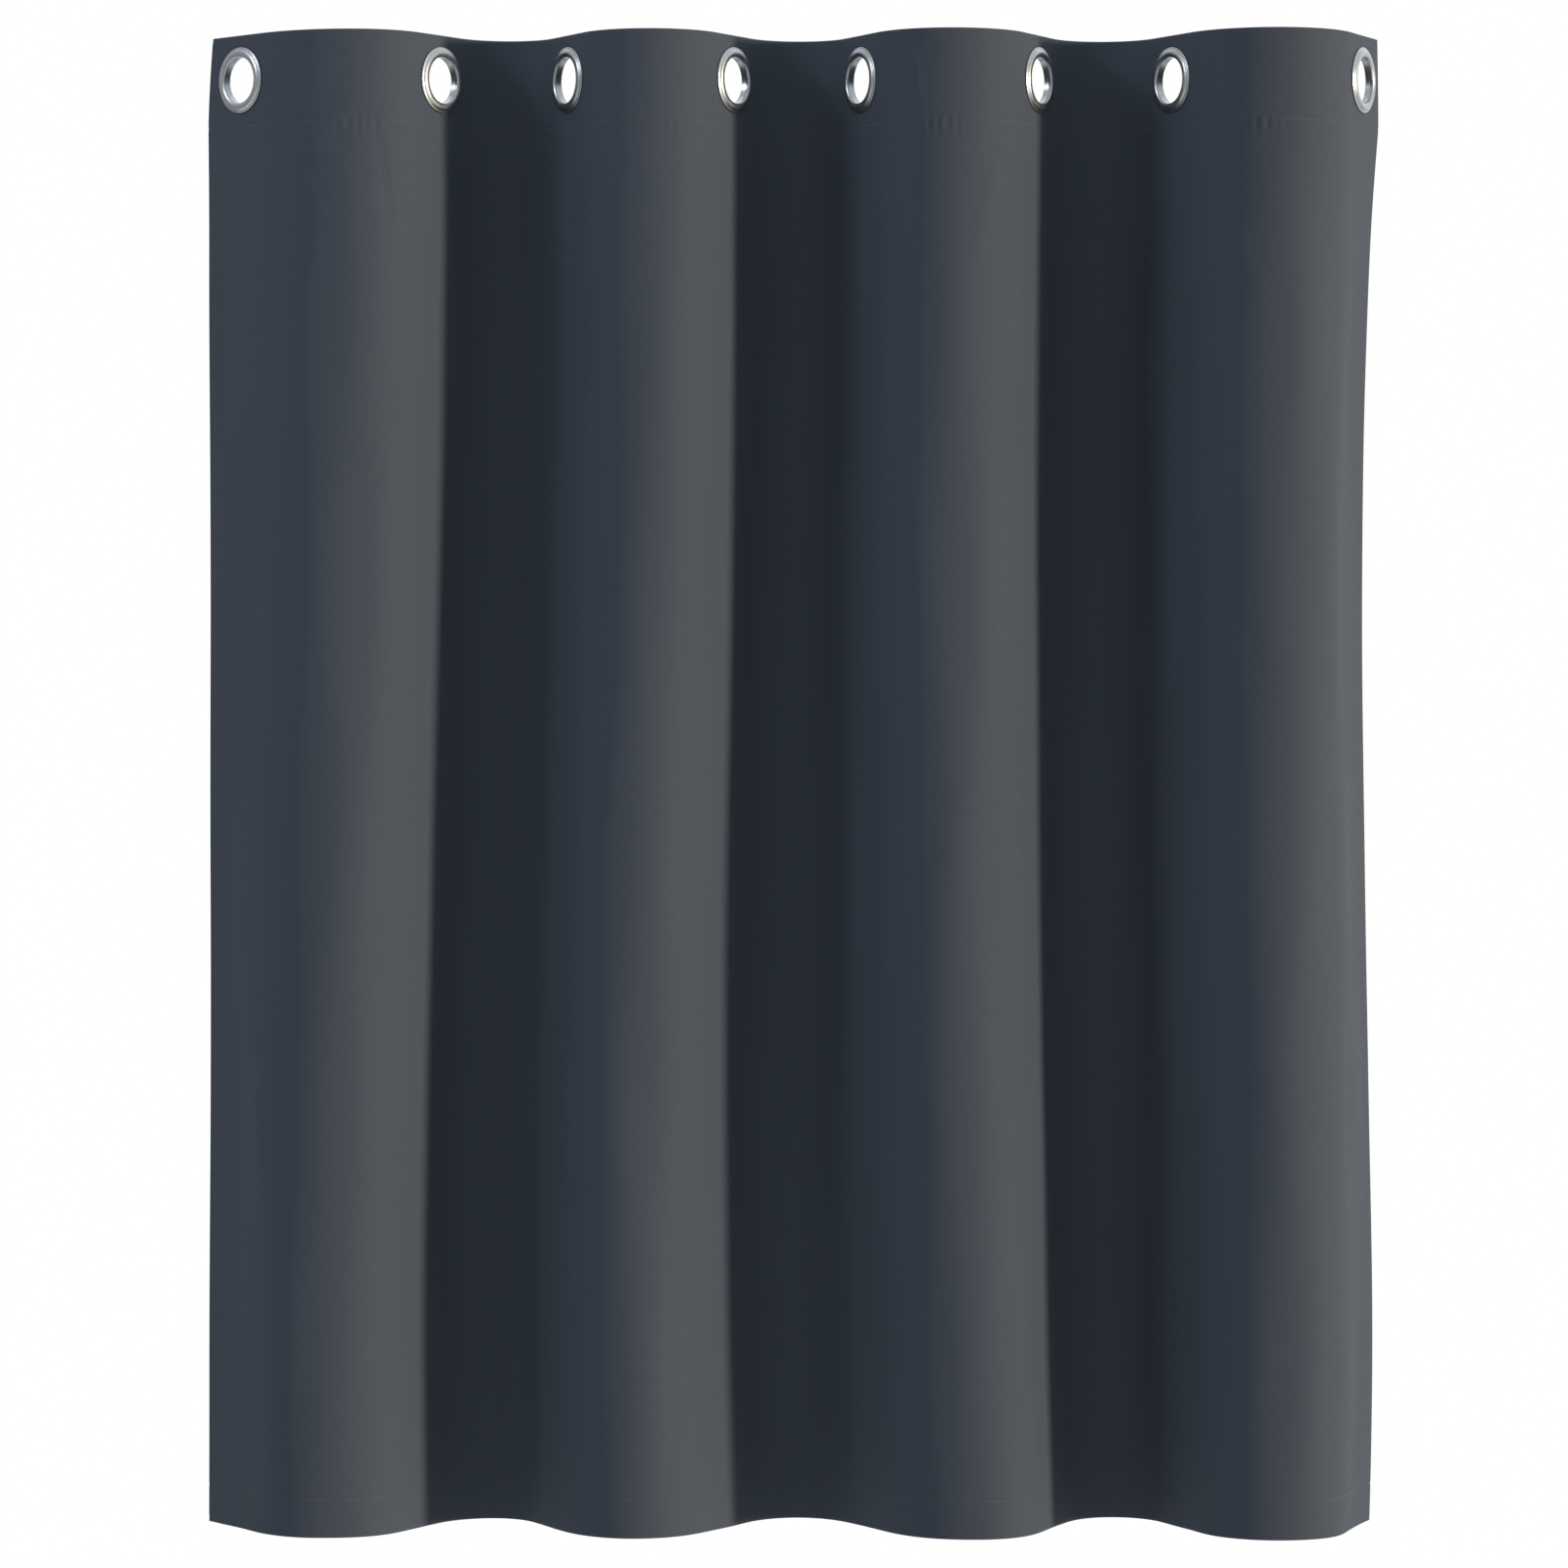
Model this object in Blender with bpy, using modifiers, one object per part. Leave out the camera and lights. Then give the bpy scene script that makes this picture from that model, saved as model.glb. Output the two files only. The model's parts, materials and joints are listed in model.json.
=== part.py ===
"""An eyelet curtain panel as it hangs from a rod, in the pieces it is sewn and pressed together from.

Metres, +Z up. The origin is on the rod's line, level with the eyelet centres and at the middle of
their row. The face side looks along -Y and the rod runs along X. Seen from above, the cloth
waves to the front and to the back of the rod, and it crosses the rod's line at each eyelet.

The cloth is one continuous piece on the real panel. Here it is divided at the fold lines, into a
narrow left side hem and eight flanks, because it bends there when the curtain is drawn.
"""

from bisect import bisect_right
from math import cos, pi, radians, sin, tan

import bmesh
import bpy
from mathutils import Matrix, Vector

# Overall sizes
PANEL_DROP = 1.3716  # top edge to bottom edge, 54 inches
FRONT_SPAN = 0.168  # mean distance along the rod across a fold that comes forward
BACK_SPAN = 0.118  # mean distance along the rod across a fold that goes back
FRONT_SPAN_EASE = (0.015, -0.016, -0.005, 0.0065)  # how each front fold differs from the mean
BACK_SPAN_EASE = (-0.002, -0.002, 0.0035)  # how each back fold differs from the mean
EYELET_TILTS = (45, 56, 60, 59, 62, 62, 60, 64)  # degrees from the rod's direction to the cloth

# Cloth, header and hems
CLOTH = 0.0006  # one layer of the cloth
TAPE = 0.0006  # the stiff header tape between the cloth's two header layers
GAP = 0.0003  # clearance between neighbouring pieces
RING_TO_TOP = 0.011  # eyelet rim to the top edge
RING_TO_SEAM = 0.0115  # eyelet rim to the header seam
FACING_BELOW_SEAM = 0.004
TAPE_ABOVE_SEAM = 0.002
HEM_DEPTH = 0.038
SEAM_IN_HEM = 0.003  # seam to the turned edge of a hem
SIDE_HEM = 0.011
RING_TO_LEFT_HEM = 0.006
RING_TO_RIGHT_HEM = 0.002
THREAD = 0.0004

# Eyelets
EYELET_BORE_R = 0.021
RING_R = 0.030
BARREL_WALL = 0.0012
RIM = 0.0011  # thickness of a ring at its outer edge
FRONT_CROWN = 0.0034  # height of the domed front ring
REAR_CROWN = 0.0024

# Folding
FOLD_SWING = 30  # degrees that each flank turns either way when the curtain is drawn
HINGE_GAP = 0.0008  # between two flanks at their fold line
FOLD_MARGIN = 10  # degrees that the rear layers stand back beyond that swing
RING_LAND = 0.001  # flat cloth beyond a ring's rim

# Smoothness
ARC_STEPS = 4  # facets between a ring's flat and a fold line
CURVE_STEPS = 64  # points on each fold's smooth curve, before it is divided into facets
EDGE_STEPS = 3  # facets round a turned edge
RING_STEPS = 20
FRONT_CROWN_STEPS = 6
REAR_CROWN_STEPS = 5
SMOOTH_ANGLE = 35  # degrees between two facets that are still shaded as one surface
SCREW_MERGE = 0.00001
HINGE_MARK = 0.03  # size of the cross drawn at each fold line's empty

EYELETS = len(EYELET_TILTS)
RING_FLAT = RING_R + RING_LAND
BARREL_R = EYELET_BORE_R + BARREL_WALL
CLOTH_HOLE_R = BARREL_R + GAP
TOP_Z = RING_R + RING_TO_TOP
BOTTOM_Z = TOP_Z - PANEL_DROP
SEAM_Z = -(RING_R + RING_TO_SEAM)
LEFT_EDGE = RING_R + RING_TO_LEFT_HEM + SIDE_HEM
RIGHT_EDGE = RING_R + RING_TO_RIGHT_HEM + SIDE_HEM

# Depths behind the middle of the front layer
TAPE_DEPTH = CLOTH / 2 + GAP + TAPE / 2
FACING_DEPTH = CLOTH + TAPE + 2 * GAP
TURNING_DEPTH = CLOTH + GAP
THREAD_DEPTH = -(CLOTH / 2 + GAP + THREAD / 2)
FOLD_RELIEF = tan(radians(FOLD_SWING + FOLD_MARGIN))  # how far they stand back, by their depth
CUTTER_LENGTH = 4 * FACING_DEPTH  # long enough to pass through every layer at an eyelet


def eyelet_centres():
    """The eyelets' places along the rod, with the row's middle at zero."""
    places = [0.0]
    for k in range(EYELETS - 1):
        if k % 2 == 0:
            span = FRONT_SPAN + FRONT_SPAN_EASE[k // 2]
        else:
            span = BACK_SPAN + BACK_SPAN_EASE[k // 2]
        places.append(places[-1] + span)
    middle = (places[0] + places[-1]) / 2
    return [Vector((x - middle, 0.0)) for x in places]


def eyelet_directions():
    """The cloth's direction from left to right at each eyelet: to the front, to the back, and so on."""
    found = []
    for k, tilt in enumerate(EYELET_TILTS):
        towards = -1 if k % 2 == 0 else 1
        found.append(Vector((cos(radians(tilt)), towards * sin(radians(tilt)))))
    return found


def rear_of(direction):
    """The unit vector to the rear of the cloth where it runs along direction."""
    return Vector((-direction.y, direction.x))


def fold_curve(start, start_dir, end, end_dir):
    """Points of a smooth bulge that leaves start along start_dir and reaches end along end_dir."""
    half_turn = start_dir.angle(end_dir) / 2
    reach = (end - start).length * 2 / 3 / (1 + cos(half_turn))
    first = start + start_dir * reach
    second = end - end_dir * reach
    points = []
    for i in range(1, CURVE_STEPS):
        t = i / CURVE_STEPS
        points.append(
            start * (1 - t) ** 3
            + first * 3 * t * (1 - t) ** 2
            + second * 3 * t * t * (1 - t)
            + end * t**3
        )
    return points


class Plan:
    """The cloth seen from above, measured by the distance s along it from the left edge."""

    def __init__(self):
        self.centres = eyelet_centres()
        self.directions = eyelet_directions()
        self.points = [self.centres[0] - self.directions[0] * LEFT_EDGE]
        for k, (centre, direction) in enumerate(zip(self.centres, self.directions)):
            before = centre - direction * RING_FLAT
            if k:
                last = self.points[-1]
                self.points += fold_curve(last, self.directions[k - 1], before, direction)
                self.points.append(before)
            self.points.append(centre + direction * RING_FLAT)
        self.points[-1] = self.centres[-1] + self.directions[-1] * RIGHT_EDGE
        self.lengths = [0.0]
        for a, b in zip(self.points, self.points[1:]):
            self.lengths.append(self.lengths[-1] + (b - a).length)
        self.width = self.lengths[-1]
        self.eyelet_s = [self.s_at_x(centre.x) for centre in self.centres]
        self.fold_s = [SIDE_HEM]
        for a, b in zip(self.centres, self.centres[1:]):
            self.fold_s.append(self.s_at_x((a.x + b.x) / 2))
        self.fold_s.append(self.width - SIDE_HEM)

    def s_at_x(self, x):
        k = bisect_right([point.x for point in self.points], x) - 1
        a, b = self.points[k], self.points[k + 1]
        return self.lengths[k] + (x - a.x) / (b.x - a.x) * (self.lengths[k + 1] - self.lengths[k])

    def at(self, s):
        k = min(max(bisect_right(self.lengths, s) - 1, 0), len(self.points) - 2)
        share = (s - self.lengths[k]) / (self.lengths[k + 1] - self.lengths[k])
        return self.points[k].lerp(self.points[k + 1], share)

    def flank_stations(self, k):
        """Where flank k's facets meet: finer on the curves, and none across the ring's flat."""
        left, right = self.fold_s[k], self.fold_s[k + 1]
        flat_start = self.eyelet_s[k] - RING_FLAT
        flat_end = self.eyelet_s[k] + RING_FLAT
        steps = range(ARC_STEPS + 1)
        stations = [left + (flat_start - left) * i / ARC_STEPS for i in steps]
        if k == 0:
            stations = [left, flat_start]
        ending = [flat_end + (right - flat_end) * i / ARC_STEPS for i in steps]
        if k == EYELETS - 1:
            ending = [right]
        return stations + ending

    def row(self, stations, depth, inset):
        """Places along the stations at this depth behind the front layer.

        The row stops inset short of both fold lines, and further short the deeper it lies, so that
        two flanks clear each other when the fold between them closes.
        """
        spine = [self.at(s) for s in stations]
        runs = [(b - a).normalized() for a, b in zip(spine, spine[1:])]
        rears = [rear_of(run) for run in runs]
        short = inset + max(depth, 0.0) * FOLD_RELIEF
        places = [spine[0] + rears[0] * depth + runs[0] * short]
        for point, a, b in zip(spine[1:], rears, rears[1:]):
            places.append(point + (a + b) * depth / (1 + a.dot(b)))
        places.append(spine[-1] + rears[-1] * depth - runs[-1] * short)
        return places


def clear_scene():
    for obj in list(bpy.data.objects):
        bpy.data.objects.remove(obj, do_unlink=True)


def new_collection(name):
    collection = bpy.data.collections.new(name)
    bpy.context.scene.collection.children.link(collection)
    return collection


def new_material(name, color, roughness, metallic=0.0):
    material = bpy.data.materials.new(name)
    material.use_nodes = True
    shader = material.node_tree.nodes["Principled BSDF"]
    shader.inputs["Base Color"].default_value = (*color, 1.0)
    shader.inputs["Roughness"].default_value = roughness
    shader.inputs["Metallic"].default_value = metallic
    material.diffuse_color = (*color, 1.0)
    return material


def smooth(mesh):
    mesh.shade_smooth()
    mesh.set_sharp_from_angle(angle=radians(SMOOTH_ANGLE))


class Body:
    """An empty on a fold line, with the pieces that turn together about it."""

    def __init__(self, name, place, parent, collection):
        self.origin = Vector((place.x, place.y, 0.0))
        self.collection = collection
        self.empty = bpy.data.objects.new(name, None)
        self.empty.empty_display_size = HINGE_MARK
        collection.objects.link(self.empty)
        if parent:
            self.empty.parent = parent.empty
            self.empty.location = self.origin - parent.origin
        else:
            self.empty.location = self.origin

    def hold(self, obj, matrix=None):
        self.collection.objects.link(obj)
        obj.parent = self.empty
        obj.matrix_basis = Matrix.Translation(-self.origin) @ (matrix or Matrix())


def sheet_mesh(name, rows):
    """An open sheet through rows of 3-D points that all have the same number of points."""
    mesh = bmesh.new()
    grid = [[mesh.verts.new(point) for point in row] for row in rows]
    for lower, upper in zip(grid, grid[1:]):
        for i in range(len(lower) - 1):
            mesh.faces.new((lower[i], lower[i + 1], upper[i + 1], upper[i]))
    data = bpy.data.meshes.new(name)
    mesh.to_mesh(data)
    mesh.free()
    return data


def thicken(obj, thickness):
    solidify = obj.modifiers.new("thickness", "SOLIDIFY")
    solidify.thickness = thickness
    solidify.offset = 0.0
    solidify.use_even_offset = True


def cut(obj, cutter):
    boolean = obj.modifiers.new("eyelet_hole", "BOOLEAN")
    boolean.operation = "DIFFERENCE"
    boolean.solver = "EXACT"
    boolean.object = cutter


def eyelet_matrix(centre, direction):
    """The eyelet's frame: its Z points out of the cloth's face and its X along the cloth."""
    along = Vector((direction.x, direction.y, 0.0))
    up = Vector((0.0, 0.0, 1.0))
    matrix = Matrix((along, up, along.cross(up))).transposed().to_4x4()
    matrix.translation = Vector((centre.x, centre.y, 0.0))
    return matrix


def hole_cutter(name, matrix, collection):
    mesh = bmesh.new()
    bmesh.ops.create_cone(
        mesh,
        cap_ends=True,
        segments=RING_STEPS,
        radius1=CLOTH_HOLE_R,
        radius2=CLOTH_HOLE_R,
        depth=CUTTER_LENGTH,
    )
    data = bpy.data.meshes.new(name)
    mesh.to_mesh(data)
    mesh.free()
    cutter = bpy.data.objects.new(name, data)
    cutter.matrix_world = matrix
    cutter.hide_render = True
    cutter.display_type = "WIRE"
    collection.objects.link(cutter)
    return cutter


def turned_edge(depth, centre_z):
    """Depth and height of the points round an upper or lower edge that joins two layers."""
    radius = depth / 2
    angles = [pi * i / EDGE_STEPS for i in range(EDGE_STEPS + 1)]
    return [(radius - radius * cos(a), centre_z - radius * sin(a)) for a in angles]


def cloth_profile():
    """The cloth from the side: up the hem's turning, round the bottom edge, up the face, over the
    top edge and down the facing behind the header tape."""
    hem_z = BOTTOM_Z + CLOTH / 2 + TURNING_DEPTH / 2
    header_z = TOP_Z - CLOTH / 2 - FACING_DEPTH / 2
    profile = [(TURNING_DEPTH, BOTTOM_Z + HEM_DEPTH)]
    profile += reversed(turned_edge(TURNING_DEPTH, hem_z))
    profile += [(d, 2 * header_z - z) for d, z in turned_edge(FACING_DEPTH, header_z)]
    profile.append((FACING_DEPTH, SEAM_Z - FACING_BELOW_SEAM))
    return profile


def make_cloth(plan, k, material, cutter):
    stations = plan.flank_stations(k)
    rows = []
    for depth, z in cloth_profile():
        rows.append([(*place, z) for place in plan.row(stations, depth, HINGE_GAP / 2)])
    name = f"cloth_{k + 1}"
    obj = bpy.data.objects.new(name, sheet_mesh(name, rows))
    obj.data.materials.append(material)
    smooth(obj.data)
    thicken(obj, CLOTH)
    cut(obj, cutter)
    return obj


def make_header_tape(plan, k, material, cutter):
    top = TOP_Z - CLOTH - FACING_DEPTH / 2
    bottom = SEAM_Z + TAPE_ABOVE_SEAM
    places = plan.row(plan.flank_stations(k), TAPE_DEPTH, HINGE_GAP)
    rows = [[(*place, z) for place in places] for z in (bottom, top)]
    name = f"header_tape_{k + 1}"
    obj = bpy.data.objects.new(name, sheet_mesh(name, rows))
    obj.data.materials.append(material)
    smooth(obj.data)
    thicken(obj, TAPE)
    cut(obj, cutter)
    return obj


def make_thread(name, points, material):
    """One run of stitching, as the thin line that it lies in on the cloth's face."""
    curve = bpy.data.curves.new(name, "CURVE")
    curve.dimensions = "3D"
    curve.bevel_depth = THREAD / 2
    curve.bevel_resolution = 0
    curve.use_fill_caps = True
    spline = curve.splines.new("POLY")
    spline.points.add(len(points) - 1)
    for target, point in zip(spline.points, points):
        target.co = (*point, 1.0)
    curve.materials.append(material)
    return bpy.data.objects.new(name, curve)


def make_seam(plan, k, name, z, material):
    stations = plan.flank_stations(k)
    inset = HINGE_GAP - THREAD_DEPTH * FOLD_RELIEF + THREAD
    places = plan.row(stations, THREAD_DEPTH, inset)
    return make_thread(name, [(*place, z) for place in places], material)


def side_hem_places(plan, edge_s, towards):
    """The side hem from above: along the face to the panel's edge, round it and back behind."""
    spot = plan.at(edge_s)
    inner = plan.at(edge_s + towards * SIDE_HEM)
    run = (spot - inner).normalized()
    rear = rear_of(run * -towards)
    start = inner + run * HINGE_GAP / 2
    bend = spot - run * (CLOTH + TURNING_DEPTH) / 2
    radius = TURNING_DEPTH / 2
    places = [start]
    for i in range(EDGE_STEPS + 1):
        angle = pi * i / EDGE_STEPS
        places.append(bend + run * radius * sin(angle) + rear * radius * (1 - cos(angle)))
    turned_end = HINGE_GAP + TURNING_DEPTH * FOLD_RELIEF
    places.append(inner + run * turned_end + rear * TURNING_DEPTH)
    return places


def make_side_hem(plan, name, edge_s, towards, material):
    places = side_hem_places(plan, edge_s, towards)
    rows = [[(*place, z) for place in places] for z in (BOTTOM_Z, TOP_Z)]
    obj = bpy.data.objects.new(name, sheet_mesh(name, rows))
    obj.data.materials.append(material)
    smooth(obj.data)
    thicken(obj, CLOTH)
    return obj


def make_side_seam(plan, name, edge_s, towards, material):
    spot = plan.at(edge_s + towards * (SIDE_HEM - SEAM_IN_HEM))
    inner = plan.at(edge_s + towards * SIDE_HEM)
    rear = rear_of((inner - spot).normalized() * towards)
    place = spot + rear * THREAD_DEPTH
    ends = (BOTTOM_Z + THREAD, TOP_Z - THREAD)
    return make_thread(name, [(*place, z) for z in ends], material)


def crown(inner_r, outer_r, low, high, steps):
    """Radius and height of a domed ring's surface, from its inner edge to its outer edge."""
    middle = (inner_r + outer_r) / 2
    half = (outer_r - inner_r) / 2
    points = []
    for i in range(steps + 1):
        angle = pi * i / steps
        points.append((middle - half * cos(angle), low + (high - low) * sin(angle)))
    return points


def turned_ring(name, profile, matrix, material):
    """A ring turned about its Z axis from a closed profile of radii and heights."""
    data = bpy.data.meshes.new(name)
    count = len(profile)
    edges = [(i, (i + 1) % count) for i in range(count)]
    data.from_pydata([(r, 0.0, z) for r, z in profile], edges, [])
    data.materials.append(material)
    obj = bpy.data.objects.new(name, data)
    screw = obj.modifiers.new("turned", "SCREW")
    screw.axis = "Z"
    screw.steps = RING_STEPS
    screw.render_steps = RING_STEPS
    screw.use_merge_vertices = True
    screw.merge_threshold = SCREW_MERGE
    screw.use_smooth_shade = True
    return obj, matrix


def rear_ring_seat():
    """Height of the rear ring's flat face, in the eyelet's frame."""
    return -(FACING_DEPTH + CLOTH / 2 + GAP)


def make_front_ring(k, matrix, material):
    seat = CLOTH / 2 + GAP
    profile = crown(EYELET_BORE_R, RING_R, seat + RIM, seat + FRONT_CROWN, FRONT_CROWN_STEPS)
    barrel_end = rear_ring_seat() - REAR_CROWN
    profile += [(RING_R, seat), (BARREL_R, seat), (BARREL_R, barrel_end), (EYELET_BORE_R, barrel_end)]
    return turned_ring(f"front_ring_{k + 1}", profile, matrix, material)


def make_rear_ring(k, matrix, material):
    seat = rear_ring_seat()
    inner_r = BARREL_R + GAP
    domed = crown(inner_r, RING_R, seat - RIM, seat - REAR_CROWN, REAR_CROWN_STEPS)
    profile = [(inner_r, seat), (RING_R, seat), *reversed(domed)]
    return turned_ring(f"rear_ring_{k + 1}", profile, matrix, material)


def make_materials():
    return {
        "cloth": new_material("charcoal_cloth", (0.066, 0.072, 0.084), 0.85),
        "tape": new_material("header_tape_white", (0.72, 0.72, 0.70), 0.9),
        "ring": new_material("satin_silver", (0.72, 0.73, 0.75), 0.28, 1.0),
        "thread": new_material("charcoal_thread", (0.05, 0.055, 0.065), 0.7),
    }


def make_flank(plan, k, body, materials, cutters):
    matrix = eyelet_matrix(plan.centres[k], plan.directions[k])
    cutter = hole_cutter(f"eyelet_hole_cutter_{k + 1}", matrix, cutters)
    body.hold(make_cloth(plan, k, materials["cloth"], cutter))
    body.hold(make_header_tape(plan, k, materials["tape"], cutter))
    body.hold(*make_front_ring(k, matrix, materials["ring"]))
    body.hold(*make_rear_ring(k, matrix, materials["ring"]))
    hem_seam_z = BOTTOM_Z + HEM_DEPTH - SEAM_IN_HEM
    body.hold(make_seam(plan, k, f"header_seam_{k + 1}", SEAM_Z, materials["thread"]))
    body.hold(make_seam(plan, k, f"hem_seam_{k + 1}", hem_seam_z, materials["thread"]))


def make_side(plan, side, edge_s, towards, body, materials):
    body.hold(make_side_hem(plan, f"{side}_side_hem", edge_s, towards, materials["cloth"]))
    body.hold(make_side_seam(plan, f"{side}_side_seam", edge_s, towards, materials["thread"]))


def main():
    clear_scene()
    panel = new_collection("eyelet_curtain_panel")
    cutters = new_collection("cutters")
    cutters.hide_render = True
    plan = Plan()
    materials = make_materials()
    body = Body("left_edge", plan.at(plan.fold_s[0]), None, panel)
    make_side(plan, "left", 0.0, 1, body, materials)
    for k in range(EYELETS):
        body = Body(f"draw_{k + 1}", plan.at(plan.fold_s[k]), body, panel)
        make_flank(plan, k, body, materials, cutters)
    make_side(plan, "right", plan.width, -1, body, materials)


main()
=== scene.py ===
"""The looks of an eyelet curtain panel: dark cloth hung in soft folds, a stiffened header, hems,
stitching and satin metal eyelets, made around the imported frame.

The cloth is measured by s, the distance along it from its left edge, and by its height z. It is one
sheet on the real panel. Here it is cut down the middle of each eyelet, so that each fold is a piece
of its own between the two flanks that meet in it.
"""

import json
from math import cos, pi, radians, sin, tau

import bmesh
import bpy
import numpy as np
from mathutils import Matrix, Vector


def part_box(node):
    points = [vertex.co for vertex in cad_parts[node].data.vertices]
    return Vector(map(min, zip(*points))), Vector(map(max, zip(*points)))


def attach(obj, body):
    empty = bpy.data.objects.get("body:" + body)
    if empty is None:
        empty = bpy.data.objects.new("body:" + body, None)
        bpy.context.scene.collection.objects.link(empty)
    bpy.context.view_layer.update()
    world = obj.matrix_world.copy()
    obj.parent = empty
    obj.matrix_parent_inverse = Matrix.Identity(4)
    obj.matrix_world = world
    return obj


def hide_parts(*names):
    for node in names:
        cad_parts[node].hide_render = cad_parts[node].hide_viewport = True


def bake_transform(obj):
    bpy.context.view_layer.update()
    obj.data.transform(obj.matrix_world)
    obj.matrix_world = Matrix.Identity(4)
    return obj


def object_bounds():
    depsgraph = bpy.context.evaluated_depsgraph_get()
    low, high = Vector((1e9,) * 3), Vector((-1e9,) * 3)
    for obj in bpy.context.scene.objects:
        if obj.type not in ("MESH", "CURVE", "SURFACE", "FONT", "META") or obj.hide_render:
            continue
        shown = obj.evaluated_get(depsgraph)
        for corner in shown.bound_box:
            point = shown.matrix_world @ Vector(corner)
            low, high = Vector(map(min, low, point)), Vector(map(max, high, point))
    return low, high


# Cloth and tape, in metres
CLOTH = 0.0006
TAPE = 0.0005
FACING_DEPTH = 0.0018  # the header's rear layer behind the face layer
TURNING_DEPTH = 0.0009  # a hem's turned layer behind the face layer
FACING_BELOW_SEAM = 0.004
TAPE_TO_TOP = 0.0022
TAPE_ABOVE_SEAM = 0.002
HEM_ABOVE_SEAM = 0.003
SIDE_HEM = 0.011
SIDE_SEAM_IN = 0.008  # the side seam's distance from the panel's edge
HEM_EASE = 0.006  # the layers over a side hem's turning come back down within this distance of it
RING_LAND = 0.001  # the cloth stays flat this far beyond an eyelet's rim
HOLE_IN_RING = 0.0065  # the cloth's hole is this much smaller in radius than the eyelet's rim
EDGE_BEND = 0.005  # the left edge's bend span reaches this far each side of its hinge

# An eyelet's section, in metres: outer lip, dished face, barrel with a curled end, and the rear ring
BORE_SPARE = 0.009  # the bore's radius is this much less than the rim's
SEAT_GAP = 0.00005  # between the cloth and each ring
FOOT = (0.0026, 0.0007)  # the front ring's flat foot, by its distances inside the rim
LIP_WIDTH = 0.0011
LIP_RISE = 0.0008
GROOVE_IN = 0.0001  # the groove's curve starts this far inside the lip's
GROOVE_DEPTH = 0.0006
FACE_INSIDE_RIM = 0.0024
FACE_FROM_SEAT = 0.0019
FACE_RISE = 0.0015
BARREL_FROM_SEAT = 0.0008
BARREL_PAST_SEAT = 0.0026
BARREL_WALL = 0.0012
CURL_LIFT = 0.0006
CURL_WIDTH = 0.0009
CURL_RISE = 0.0007
CURL_END_LIFT = 0.0008
REAR_RING_CLEAR = 0.0013  # the rear ring's opening is this much wider in radius than the bore
REAR_RING_DEEP = 0.0008
REAR_RING_RISE = 0.0014
RING_STEPS = 96

# How the folds wander on their way down, sideways: at these shares of the fall below the header seam,
# for the left edge, each fold line from left to right, and the right edge
DRIFT_AT = (0.0, 0.15, 0.5, 1.0)
DRIFT = (
    (0.0, 0.0004, -0.0004, -0.0039),
    (0.0, -0.0020, -0.0148, -0.0232),
    (0.0, -0.0004, -0.0107, -0.0199),
    (0.0, -0.0007, -0.0126, -0.0152),
    (0.0, 0.0, -0.0050, -0.0010),
    (0.0, -0.0013, 0.0011, 0.0197),
    (0.0, -0.0016, -0.0008, 0.0134),
    (0.0, -0.0010, 0.0024, 0.0067),
    (0.0, -0.0107, -0.0108, -0.0043),
)
SOFTEN = 0.006  # how far the folds' curves are rounded below the header
SOFTEN_FALL = 0.05  # share of the fall over which they become so
SAMPLE = 0.0005  # spacing of the points that the fold curves are kept as

# Small puckers under the header seam: fold, offset from the fold line, half width
PUCKERS = ((1, 0.024, 0.020), (3, 0.018, 0.011), (5, -0.008, 0.022), (7, -0.010, 0.020))
PUCKER_WAVE = 0.0085
PUCKER_WANDER = 0.5  # how far their phase wanders along the cloth, in radians, and how quickly
PUCKER_WANDER_RATE = 2.1
PUCKER_HEIGHT = 0.00055
PUCKER_PEAK = 0.003  # below the seam
PUCKER_FALL = 0.008
PUCKER_ABOVE = 0.002  # how quickly they fade above the seam
PUCKER_COLUMNS = 1.4  # close columns reach this many half widths from a pucker's middle
# Soft creases: fold, offset from the fold line, start below the header seam, run along the cloth, fall,
# half width and height
CREASES = (
    (1, -0.066, 0.024, 0.062, 0.062, 0.0050, 0.0011),
    (1, 0.040, 0.010, 0.012, 0.110, 0.0060, -0.0007),
    (3, -0.050, 0.004, 0.020, 0.085, 0.0055, 0.0007),
    (5, -0.036, -0.070, 0.006, 0.062, 0.0045, 0.0008),
    (5, 0.050, 0.012, -0.026, 0.120, 0.0070, 0.0007),
    (7, -0.042, -0.064, -0.004, 0.058, 0.0045, 0.0007),
    (7, -0.080, 0.008, 0.070, 0.150, 0.0080, 0.0009),
)
# Shares of a crease's fall: it comes up over the first, is partly up at its start by the second, is gone at
# the third and goes over the fourth
CREASE_COMING = 0.3
CREASE_AT_START = 0.3
CREASE_END = 1.1
CREASE_GOING = 0.5
# Long soft swells of the hanging cloth: height, wavelength along the cloth and down it, phases
SWELLS = (
    (0.0007, 0.105, 0.83, 0.4, 1.1),
    (0.0004, 0.062, 0.47, 2.0, 0.3),
)
SWELL_FALL = 0.12  # share of the fall over which they begin
SWELL_WANDER = 0.6  # how far their phase wanders down the cloth, in radians
CORNER_LEAN = (0.0072, 0.0038)  # how far the header's outer corners are drawn in, left and right
CORNER_REACH = 0.026
CORNER_CURVE = 1.5  # power of the height above the seam with which they lean
SEAM_DIP = 0.00035
SEAM_DIP_WIDTH = 0.0014

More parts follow.
